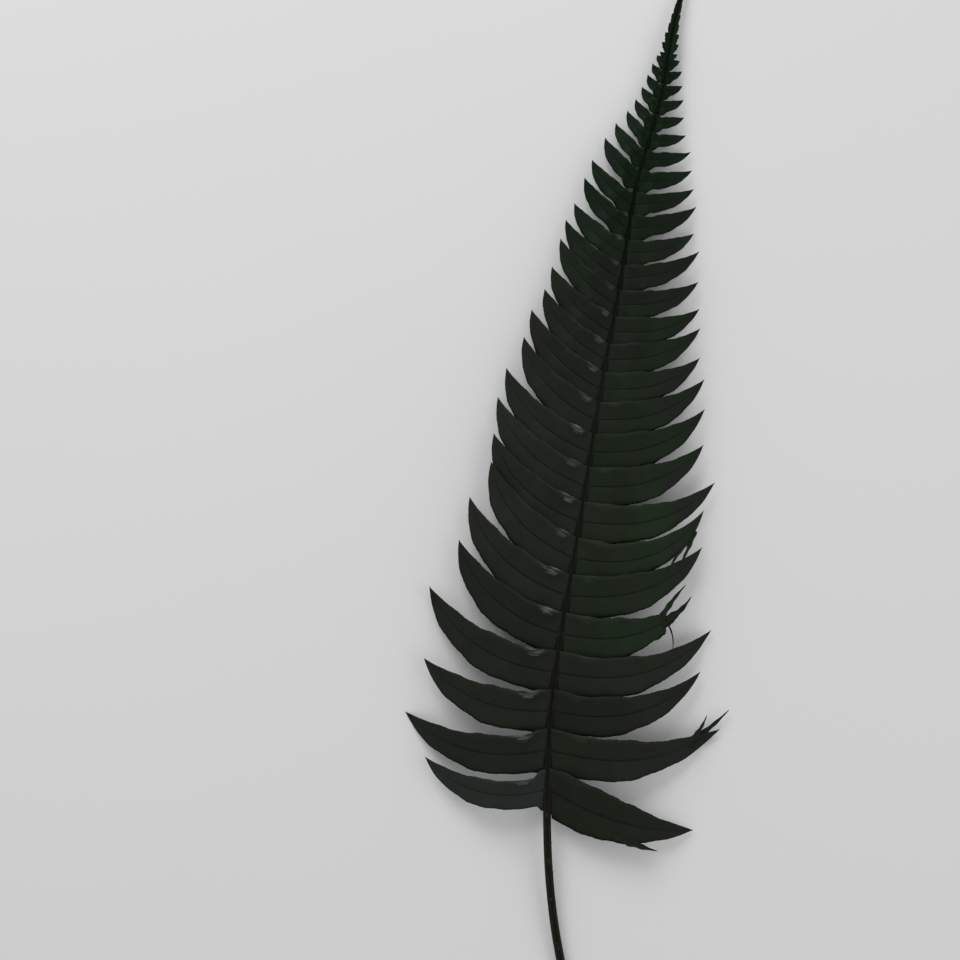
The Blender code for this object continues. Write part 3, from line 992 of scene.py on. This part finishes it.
@dataclass(frozen=True)
class PinnaRow(Piece):
    """All the pinnae of one side, in one piece."""

    side: Side
    row_step: float = 0.00072
    least_rows: int = 12
    tone_share: float = 0.85
    section: BladeSection = BladeSection()
    torn: tuple[tuple[int, Torn], ...] = ()
    tones: tuple[tuple[int, float], ...] = ()

    @property
    def name(self) -> str:
        """The piece's name, by its side."""
        return f"pinnae_{self.side.name.lower()}"

    def shapes(self, growth: Growth) -> Iterator[Shape]:
        """The pinnae, from the lowest up."""
        return (self.blade(growth.line, pinna) for pinna in growth.row(self.side))

    def blade(self, line: MiddleLine, pinna: Pinna) -> Shape:
        """The shell of one pinna, cut short along a ragged line if it is torn.

        Args:
            line: The rachis.
            pinna: The pinna.

        Returns:
            Its points, faces and values.
        """
        torn = dict(self.torn).get(pinna.index)
        rows = max(self.least_rows, round(pinna.length / self.row_step))
        last = torn.end if torn else 1.0
        share = np.linspace(0, last, rows + 1)
        grid = np.broadcast_to(self.section.across(), (rows + 1, len(self.section.across())))
        points, half = pinna.surface(line, share, grid)
        if torn:
            points = self.tear(points, share, grid, torn)
        over, under = self.section.offsets(share, grid)
        corners, faces = shell(points, over, under, flip=pinna.side is Side.LEFT)
        corners[:, 2] = np.maximum(corners[:, 2], 0.0)
        tone = dict(self.tones).get(pinna.index, self.tone_share * pinna.phases[1])
        return corners, faces, leaf_values(grid, share, pinna.veins(share, half, grid), tone=tone,
                                           green=pinna.greenness(), scuff=pinna.scuff(share, grid))

    @staticmethod
    def tear(points: Array, share: Array, across: Array, torn: Torn) -> Array:
        """Draws the rows near the end back along the pinna, by the product of two sines across it.

        Args:
            points: The grid of the whole blade.
            share: The share of the midrib in each row.
            across: The grid of places across.
            torn: How it is torn.

        Returns:
            The grid with its ragged end.
        """
        fine, coarse = (np.sin(across * pace + phase) for pace, phase in torn.teeth)
        pull = torn.depth * (0.5 + 0.5 * fine * coarse) + torn.slant * (1 - across) / 2
        near = smooth_step((share / torn.end - torn.start) / (1 - torn.start))[:, None]
        return points - unit(np.gradient(points, axis=0)) * (pull * near)[..., None]


def both_faces(shape: tuple[int, int], **grids: Array | float) -> dict[str, Array]:
    """Values over a grid of that shape, repeated for the two faces of the shell that it becomes."""
    return {name: np.tile(np.broadcast_to(grid, shape).reshape(-1), 2) for name, grid in grids.items()}


def leaf_values(across: Array, share: Array, vein: Array, tone: float, green: float,
                scuff: Array | float = 0.0) -> dict[str, Array]:
    """What the leaf's shader reads, for the upper face and then the lower one.

    Args:
        across: The grid of places across.
        share: The share of the midrib in each row.
        vein: The count of side veins over the grid.
        tone: The blade's tone.
        green: Its greenness.
        scuff: How strong the painted highlight on the curled root margin is, over the grid.

    Returns:
        The values by name.
    """
    values = both_faces(across.shape, across=across, share=share[:, None], vein=vein + FIRST_VEIN, tone=tone,
                        green=green, scuff=scuff)
    values["upper"] = np.repeat([Face.UPPER.value, Face.UNDER.value], across.size)
    return values


@dataclass(frozen=True)
class Strand:
    """A torn strip of leaf: where it leaves its pinna, where it ends, its width and how far it bows."""

    side: Side
    index: int
    share: float
    across: float
    end: tuple[float, float]
    width: float
    bow: float = 0.0


@dataclass(frozen=True)
class Frays(Piece):
    """The torn strips and split ends of single pinnae, in one piece."""

    name = "frays"
    strands: tuple[Strand, ...]
    rows: int = 30
    columns: int = 5
    half_thickness: float = 0.00013
    thinnest: float = 0.00010
    rise: float = 0.0011
    tuck: float = 0.00024
    lowest: float = 0.0015
    narrowing: float = 1.4
    wobble: float = 0.18
    wobble_pace: float = 21.0
    hollow: float = 0.35
    veins: float = 30.0
    first_share: float = 0.8
    tones: tuple[float, ...] = (0.05, 0.15, 0.25)

    def shapes(self, growth: Growth) -> Iterator[Shape]:
        """The strips, in the order given."""
        return (self.strip(growth, strand, self.tones[number % len(self.tones)])
                for number, strand in enumerate(self.strands))

    def strip(self, growth: Growth, strand: Strand, tone: float) -> Shape:
        """One strip: start + run (end - start) + 4 bow run (1 - run) square to that, narrowing to its end.

        It keeps the height over the common sheet at which it starts, tucked just under its blade, and rises
        as the square of the run.

        Args:
            growth: The frond.
            strand: The strip.
            tone: Its tone.

        Returns:
            Its points, faces and values.
        """
        line, pinna = growth.line, growth.row(strand.side)[strand.index]
        start = pinna.surface(line, np.array([strand.share]), np.full((1, 1), strand.across))[0][0, 0]
        run = np.linspace(0, 1, self.rows + 1)[:, None]
        way = np.array([*strand.end, start[2]]) - start
        square = np.array([-way[1], way[0], 0.0])
        path = start + way * run + square * strand.bow * 4 * run * (1 - run)
        at = np.array(pinna.at)
        ahead, outward = line.ahead(at)[:2], pinna.side.value * line.right(at)[:2]
        away = path[:, :2] - line.point(at)[:2]
        sheet = line.sheet_height(pinna.at + away @ ahead, away @ outward, pinna.side)
        path[:, 2] += sheet - sheet[0] + self.rise * run[:, 0] ** 2 - self.tuck
        path[:, 2] = np.maximum(path[:, 2], self.lowest)
        wobble = 1 + self.wobble * np.sin(self.wobble_pace * run)
        half = strand.width / 2 * (1 - run ** self.narrowing) * wobble + self.thinnest
        across = np.broadcast_to(np.linspace(-1, 1, self.columns), (self.rows + 1, self.columns))
        points = path[:, None] + unit(square) * (half * across)[..., None]
        points[..., 2] += self.hollow * half * np.abs(across)
        wall = np.full(across.shape, self.half_thickness)
        corners, faces = shell(points, wall, wall, flip=False)
        vein = self.veins * run - 0.5 * np.abs(across)
        share = self.first_share + (1 - self.first_share) * run[:, 0]
        return corners, faces, leaf_values(across, share, vein, tone=tone, green=pinna.greenness())


@dataclass(frozen=True)
class TipBlade(Piece):
    """The narrow end of the frond, where the last lobes have run together into one toothed blade."""

    name = "tip_blade"
    overlap: float = 0.0035
    end: float = 0.0002
    row_step: float = 0.00022
    half_width: Law = Law(((0.0, 0.0004), (0.020, 0.0017), (0.026, 0.0022), (0.036, 0.0032), (0.043, 0.0046),
                           (0.051, 0.0046)))
    tooth_pitch: float = 0.0054
    tooth_depth: float = 0.50
    depth_power: float = 1.5
    most_depth: float = 0.7
    tooth_shape: float = 1.3
    ragged: float = 0.06
    ragged_paces: tuple[float, float] = (2900.0, 1130.0)
    sweep: float = 0.0016
    tone: float = 0.35
    green: float = 0.9
    section: BladeSection = BladeSection(rib_height=0.0001, rib_width=0.2)

    def shapes(self, growth: Growth) -> Iterator[Shape]:
        """The blade.

        The half width is the law's, less a saw tooth that starts at each lobe's point and deepens down to
        the notch above the next one. Its points sweep towards the tip, and its margins rise a little.

        Args:
            growth: The frond.

        Yields:
            Its points, faces and values.
        """
        line = growth.line
        rows = round((TIP_LENGTH + self.overlap) / self.row_step)
        back = np.linspace(TIP_LENGTH + self.overlap, self.end, rows + 1)
        saw = (back / self.tooth_pitch) % 1.0
        depth = self.tooth_depth * (back / TIP_LENGTH) ** self.depth_power
        half = self.half_width(back) * (1 - np.clip(depth, 0, self.most_depth) * saw ** self.tooth_shape)
        fine, coarse = (np.sin(back * pace) for pace in self.ragged_paces)
        half *= 1 + self.ragged * fine * coarse
        across = np.broadcast_to(self.section.across(), (rows + 1, len(self.section.across())))
        along = line.length - back
        points = line.point(along)[:, None] + line.right(along)[:, None] * (half[:, None] * across)[..., None]
        sweep = self.sweep * np.clip(depth, 0, 1)[:, None] * np.abs(across) ** 2
        points = points + line.ahead(along)[:, None] * sweep[..., None]
        points[..., 2] += half[:, None] * CROWN * np.abs(across)
        share = 1 - back / back[0]
        over, under = self.section.offsets(share * 0.8, across)
        corners, faces = shell(points, over, under, flip=True)
        corners[:, 2] = np.maximum(corners[:, 2], 0.0)
        vein = (back / self.tooth_pitch)[:, None] - 0.8 * np.abs(across)
        yield corners, faces, leaf_values(across, share * 0.7, vein, tone=self.tone, green=self.green)


@dataclass(frozen=True)
class Stalk(Piece):
    """The stipe and rachis: a grooved, fibrous tube with a cushion at the root of each pinna."""

    name = "rachis"
    row_step: float = 0.0006
    columns: int = 36
    groove_depth: float = 0.42
    groove_width: float = 0.34
    lip_height: float = 0.07
    lip_at: float = 0.80
    lip_width: float = 0.26
    joint_height: float = 0.13
    joint_length: float = 0.0011
    joint_at: float = 0.95
    joint_width: float = 0.36
    fibre_height: float = 0.022
    fibres: tuple[tuple[float, ...], ...] = ((1.0, 9, 2.0, 55.0, 0.0), (0.7, 14, 1.3, 90.0, 1.0))
    cut_slant: float = math.radians(28)
    cut_run: float = 0.0085
    cap_rings: tuple[float, ...] = (0.93, 0.82, 0.66, 0.48, 0.30, 0.14, 0.0)
    cap_hollow: float = 0.00035
    tip_rings: int = 3

    def shapes(self, growth: Growth) -> Iterator[Shape]:
        """The stalk: a profile carried along the middle line, with rings that close both ends.

        The radius is the law's times 1, less a bell-shaped groove on top, plus a lip on each side of it, a
        cushion at every pinna's root, and waves around that run lengthwise as fibres. What would reach
        below the surface is pressed flat on it, and the cut end is slanted.

        Args:
            growth: The frond.

        Yields:
            Its points, faces and values.
        """
        line = growth.line
        rows = round(line.length / self.row_step)
        along = np.linspace(0, line.length, rows + 1)
        turn = 2 * math.pi * np.arange(self.columns) / self.columns
        from_top = (turn + math.pi) % (2 * math.pi) - math.pi
        angles = math.pi / 2 + from_top
        groove = bell(from_top, 0, self.groove_width)
        lips = bell(np.abs(from_top), self.lip_at, self.lip_width)
        joint = self.joints(growth, along, from_top)
        fibres = sum(size * np.sin(count * turn[None] + sway * np.sin(along * pace + phase)[:, None])
                     for size, count, sway, pace, phase in self.fibres)
        deep = 0.55 + 0.45 * smooth_step((along - line.lamina_start() + 0.04) / 0.05)
        shape = 1 - self.groove_depth * deep[:, None] * groove + self.lip_height * lips
        shape = shape + self.joint_height * joint + self.fibre_height * fibres
        radii = RADIUS(line.back(along))[:, None] * shape

        centres = line.point(along)
        ahead = unit(np.gradient(centres, axis=0))
        right = line.right(along)
        rings = tube(centres, right, np.cross(right, ahead), radii, angles)
        rings = np.concatenate([self.cap(rings[0], centres[0]), rings,
                                self.close(rings[-1], centres[-1], ahead[-1])])
        start = len(self.cap_rings)
        rings[..., 2] = np.maximum(rings[..., 2], 0.0)
        slant = np.clip(1 - (rings[..., 1] - centres[0, 1]) / self.cut_run, 0, 1)
        rings[..., 1] += (rings[..., 2] - centres[0, 2]) * math.tan(self.cut_slant) * slant

        ends = np.zeros((len(rings), self.columns))
        ends[:start] = 1.0
        ring = np.zeros_like(ends)
        ring[:start] = np.array(self.cap_rings[::-1])[:, None]
        full = slice(start, start + rows + 1)
        groove_value, joint_value, stipe = (np.zeros_like(ends) for _ in range(3))
        groove_value[full] = groove[None] ** 0.7
        joint_value[full] = joint
        stipe[full] = 1 - smooth_step((along - line.lamina_start() + 0.02) / 0.05)[:, None]
        yield rings, self.wrap(len(rings)), {"groove": groove_value, "joint": joint_value, "cut": ends,
                                             "ring": ring, "stipe": stipe}

    def joints(self, growth: Growth, along: Array, from_top: Array) -> Array:
        """1 at each pinna's root, on its side of the groove, falling off in both directions as a bell.

        Args:
            growth: The frond.
            along: Lengths from the cut end, one for each ring.
            from_top: Angles from the top, one for each column.

        Returns:
            The cushions over rings and columns.
        """
        total = np.zeros((len(along), len(from_top)))
        for side in Side:
            roots = np.array([pinna.at for pinna in growth.row(side)])
            lengthwise = bell(along[:, None], roots[None], self.joint_length).sum(axis=1)
            around = bell(from_top, -side.value * self.joint_at, self.joint_width)
            total += lengthwise[:, None] * around[None]
        return total

    def cap(self, ring: Array, centre: Array) -> Array:
        """The cut face: rings that close in on the centre, hollow by a share of 1 - s^2.

        Args:
            ring: The first ring of the stalk.
            centre: Its centre.

        Returns:
            The rings, from the centre out.
        """
        shares = np.array(self.cap_rings[::-1])
        rings = centre + (ring - centre)[None] * shares[:, None, None]
        rings[..., 1] += self.cap_hollow * (1 - shares ** 2)[:, None]
        return rings

    def close(self, ring: Array, centre: Array, ahead: Array) -> Array:
        """The rounded end at the tip: rings that shrink as a cosine while they move ahead as a sine.

        Args:
            ring: The last ring of the stalk.
            centre: Its centre.
            ahead: The unit direction out of it.

        Returns:
            The rings, from the last one out.
        """
        angle = np.linspace(0, math.pi / 2, self.tip_rings + 1)[1:]
        reach = np.linalg.norm(ring - centre, axis=1).mean()
        rings = centre + (ring - centre)[None] * np.cos(angle)[:, None, None]
        return rings + ahead * reach * np.sin(angle)[:, None, None]

    def wrap(self, rings: int) -> Array:
        """Faces between neighbouring rings, all the way round."""
        corner = np.arange(rings * self.columns).reshape(rings, self.columns)
        after = np.roll(corner, -1, axis=1)
        return np.stack([corner[:-1], corner[1:], after[1:], after[:-1]], axis=-1).reshape(-1, 4)


@dataclass(frozen=True)
class Scales(Piece):
    """Papery scales on the stipe, dense at its foot, and fine hairs along the rachis."""

    name = "scales"
    seed: int = 11
    scales: int = 90
    hairs: int = 260
    rows: int = 6
    columns: int = 3
    sunk: float = 0.86
    foot_power: float = 1.5
    widest_turn: float = 1.75
    half_thickness: float = 0.00003
    tip_bare: float = 0.03
    foot_bare: float = 0.004
    lowest: float = 0.0002
    sway: tuple[float, float] = (0.6, 0.25)
    lengths: tuple[tuple[float, float], ...] = ((0.0006, 0.0010), (0.0016, 0.0022))
    half_widths: tuple[tuple[float, float], ...] = ((0.00004, 0.0), (0.00018, 0.00022))
    lifts: tuple[tuple[float, float], ...] = ((0.2, 0.7), (0.05, 0.30))

    def shapes(self, growth: Growth) -> Iterator[Shape]:
        """The scales and hairs.

        Each one starts inside the stalk, at a drawn place along it and around it, and runs towards the
        tip: root + length (run ahead + lift run^2 outward + sway run^2 sideways). Its half width is a
        power of 4 run (1 - run), so that it is pointed at both ends.

        Args:
            growth: The frond.

        Yields:
            The points, faces and values of each.
        """
        draw = np.random.default_rng(self.seed)
        line, count = growth.line, self.scales + self.hairs
        hairy = np.arange(count) >= self.scales
        chance = draw.random((7, count))
        foot = line.lamina_start()
        low = self.foot_bare + (foot - self.foot_bare) * chance[0] ** self.foot_power
        high = foot + (line.length - self.tip_bare - foot) * chance[0]
        along = np.where(hairy, high, low)
        turn = (2 * chance[1] - 1) * self.widest_turn
        length, half, lift = (
            np.where(hairy, *(least + spread * share for least, spread in ranges))
            for ranges, share in zip((self.lengths, self.half_widths, self.lifts), chance[2:5]))
        sway = (2 * chance[5] - 1) * np.where(hairy, *self.sway)

        ahead = line.ahead(along)
        upward = np.array([0.0, 0.0, 1.0])
        outward = np.sin(turn)[:, None] * line.right(along) + np.cos(turn)[:, None] * upward
        aside = np.cross(ahead, outward)
        root = line.point(along) + outward * (RADIUS(line.back(along)) * self.sunk)[:, None]
        run = np.linspace(0, 1, self.rows + 1)[None, :, None]
        drift = ((lift * length)[:, None, None] * outward[:, None]
                 + (sway * length)[:, None, None] * aside[:, None])
        path = root[:, None] + length[:, None, None] * run * ahead[:, None] + run ** 2 * drift
        across = np.linspace(-1, 1, self.columns)
        wide = half[:, None, None] * (np.clip(4 * run * (1 - run), 0, 1) ** 0.6 + 0.08)
        points = path[:, :, None] + aside[:, None, None] * (wide * across)[..., None]
        points[..., 2] = np.maximum(points[..., 2], self.lowest)
        wall = np.full(points.shape[1:3], self.half_thickness)
        for scale, tone in zip(points, chance[6]):
            yield *shell(scale, wall, wall, flip=False), both_faces(wall.shape, across=across, share=run[0],
                                                                    tone=tone)


# The set


@dataclass(frozen=True)
class Studio:
    """The pale floor, the soft lights and the camera that looks straight down."""

    floor_half: float = 6.0
    floor_height: float = -0.0002
    metres_per_pixel: float = 0.00052
    picture: int = 960
    zero_pixel: tuple[float, float] = (578.0, 1065.0)
    lens: float = 85.0
    sensor: float = 36.0
    focus_height: float = 0.015
    world: float = 0.44
    lights: tuple[tuple[str, tuple[float, float, float], float, float], ...] = (
        ("key", (-0.7, 1.5, 1.3), 1.3, 26.0),
        ("fill", (1.5, -0.6, 1.3), 1.4, 8.0),
    )

    def build(self) -> None:
        """Makes the floor, world, lights and camera, and shows colours as they are."""
        bpy.context.scene.view_settings.view_transform = "Standard"
        self.floor()
        self.sky()
        for name, place, size, power in self.lights:
            self.light(name, place, size, power)
        self.camera()

    def floor(self) -> None:
        """A large square just under the surface that the frond rests on."""
        edge = np.linspace(-self.floor_half, self.floor_half, 3)
        x, y = np.meshgrid(edge, edge, indexing="ij")
        points = np.stack([x, y, np.full_like(x, self.floor_height)], axis=-1).reshape(-1, 3)
        mesh = bpy.data.meshes.new("floor")
        mesh.from_pydata(points.tolist(), [], grid_faces(3, 3).tolist())
        mesh.materials.append(FloorFinish().build())
        link("floor", mesh)

    def sky(self) -> None:
        """Even white light from all round."""
        world = bpy.data.worlds.new("soft_room")
        world.use_nodes = True
        background = world.node_tree.nodes["Background"]
        background.inputs["Color"].default_value = (1.0, 1.0, 1.0, 1.0)
        background.inputs["Strength"].default_value = self.world
        bpy.context.scene.world = world

    def light(self, name: str, place: tuple[float, float, float], size: float, power: float) -> None:
        """A square soft light that faces the middle of the frond.

        Args:
            name: Its name.
            place: Where it stands, from the middle of the picture.
            size: The length of its edge.
            power: Its power in watts.
        """
        lamp = bpy.data.lights.new(name, "AREA")
        lamp.size = size
        lamp.energy = power
        holder = link(name, lamp)
        x, y = self.centre()
        aside, ahead, above = place
        holder.location = (x + aside, y + ahead, above)
        tilt, turn = math.atan2(math.hypot(aside, ahead), above), math.atan2(aside, -ahead)
        holder.rotation_euler = (tilt, 0.0, turn)

    def centre(self) -> tuple[float, float]:
        """The place on the surface that the middle of the picture shows."""
        middle = self.picture / 2
        column, row = self.zero_pixel
        return (middle - column) * self.metres_per_pixel, (row - middle) * self.metres_per_pixel

    def camera(self) -> None:
        """The camera, straight above, so far away that the picture covers its width in metres."""
        data = bpy.data.cameras.new("camera")
        data.lens = self.lens
        data.sensor_width = self.sensor
        camera = link("camera", data)
        width = self.picture * self.metres_per_pixel
        x, y = self.centre()
        camera.location = (x, y, self.focus_height + width * self.lens / self.sensor)
        bpy.context.scene.camera = camera


# What is torn or of an own tone, by the pinna's number from the lowest, and the torn strips.
TORN = ((4, Torn(end=0.86, depth=0.0035, slant=0.004)),)
# A tone of 1 turns the lowest left pinna teal: a paler tone that is in part a painted sheen.
TONES = ((0, 1.0),)
STRANDS = (
    Strand(Side.RIGHT, 1, 0.80, 0.10, (0.0797, 0.1834), 0.0036, -0.03),
    Strand(Side.RIGHT, 1, 0.82, 0.50, (0.0681, 0.1805), 0.0026, -0.06),
    Strand(Side.RIGHT, 4, 0.78, 0.20, (0.0593, 0.2434), 0.0046, -0.10),
    Strand(Side.RIGHT, 4, 0.80, 0.50, (0.0562, 0.2496), 0.0030, 0.03),
    Strand(Side.RIGHT, 4, 0.80, 0.10, (0.0546, 0.2376), 0.0034, -0.05),
    Strand(Side.RIGHT, 4, 0.82, 0.00, (0.0489, 0.2150), 0.0008, 0.12),
    Strand(Side.RIGHT, 4, 0.78, -0.30, (0.0515, 0.2330), 0.0030, -0.08),
    Strand(Side.RIGHT, 0, 0.50, -0.62, (0.0416, 0.1104), 0.0052, -0.04),
    Strand(Side.RIGHT, 6, 0.86, -0.85, (0.0522, 0.2590), 0.0024, 0.03),
    Strand(Side.RIGHT, 6, 0.78, -0.88, (0.0468, 0.2572), 0.0021, -0.04),
)


def main() -> None:
    """Builds the frond's pieces in order, then the set around them."""
    growth = Growth()
    leaf = LeafFinish().build()
    PinnaRow(Side.RIGHT, torn=TORN).build(growth, leaf)
    PinnaRow(Side.LEFT, tones=TONES).build(growth, leaf)
    TipBlade().build(growth, leaf)
    Frays(STRANDS).build(growth, leaf)
    Stalk().build(growth, StalkFinish().build())
    Scales().build(growth, ScaleFinish().build())
    Studio().build()


if __name__ == "__main__":
    main()
